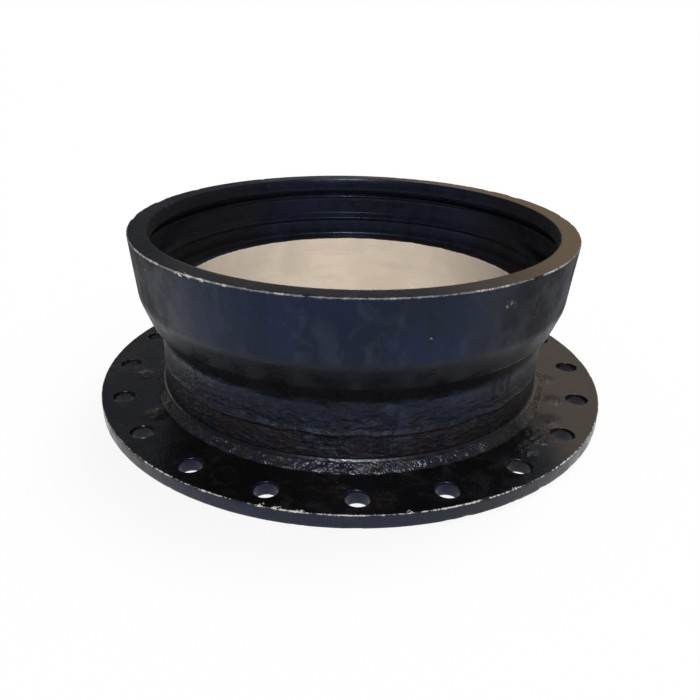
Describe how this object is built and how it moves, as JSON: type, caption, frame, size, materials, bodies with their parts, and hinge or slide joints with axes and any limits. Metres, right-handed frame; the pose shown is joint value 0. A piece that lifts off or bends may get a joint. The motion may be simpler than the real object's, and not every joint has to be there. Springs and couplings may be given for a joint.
{
  "type": "flange socket",
  "caption": "Cast iron flange socket: a drilled flange ring welded on a short lined neck that opens into a push-in joint socket for a plain pipe end.",
  "frame": {"origin": "centre of the flange's gasket face, where the fitting stands", "axes": "+Z along the bore, from the flange to the mouth of the socket; the bolt holes straddle the X and Y axes"},
  "size_m": [0.8399, 0.84, 0.283],
  "materials": {
    "casting_paint": "glossy black bitumen paint on cast iron",
    "flange_paint": "glossy black bitumen paint, chipped to bare iron at the rim",
    "weld_paint": "black bitumen paint over a rippled weld bead",
    "mortar": "smooth matt cement mortar"
  },
  "bodies": {
    "root": {"socket_casting": "casting_paint", "flange_ring": "flange_paint", "outer_weld": "weld_paint", "cement_lining": "mortar"}
  },
  "joints": []
}
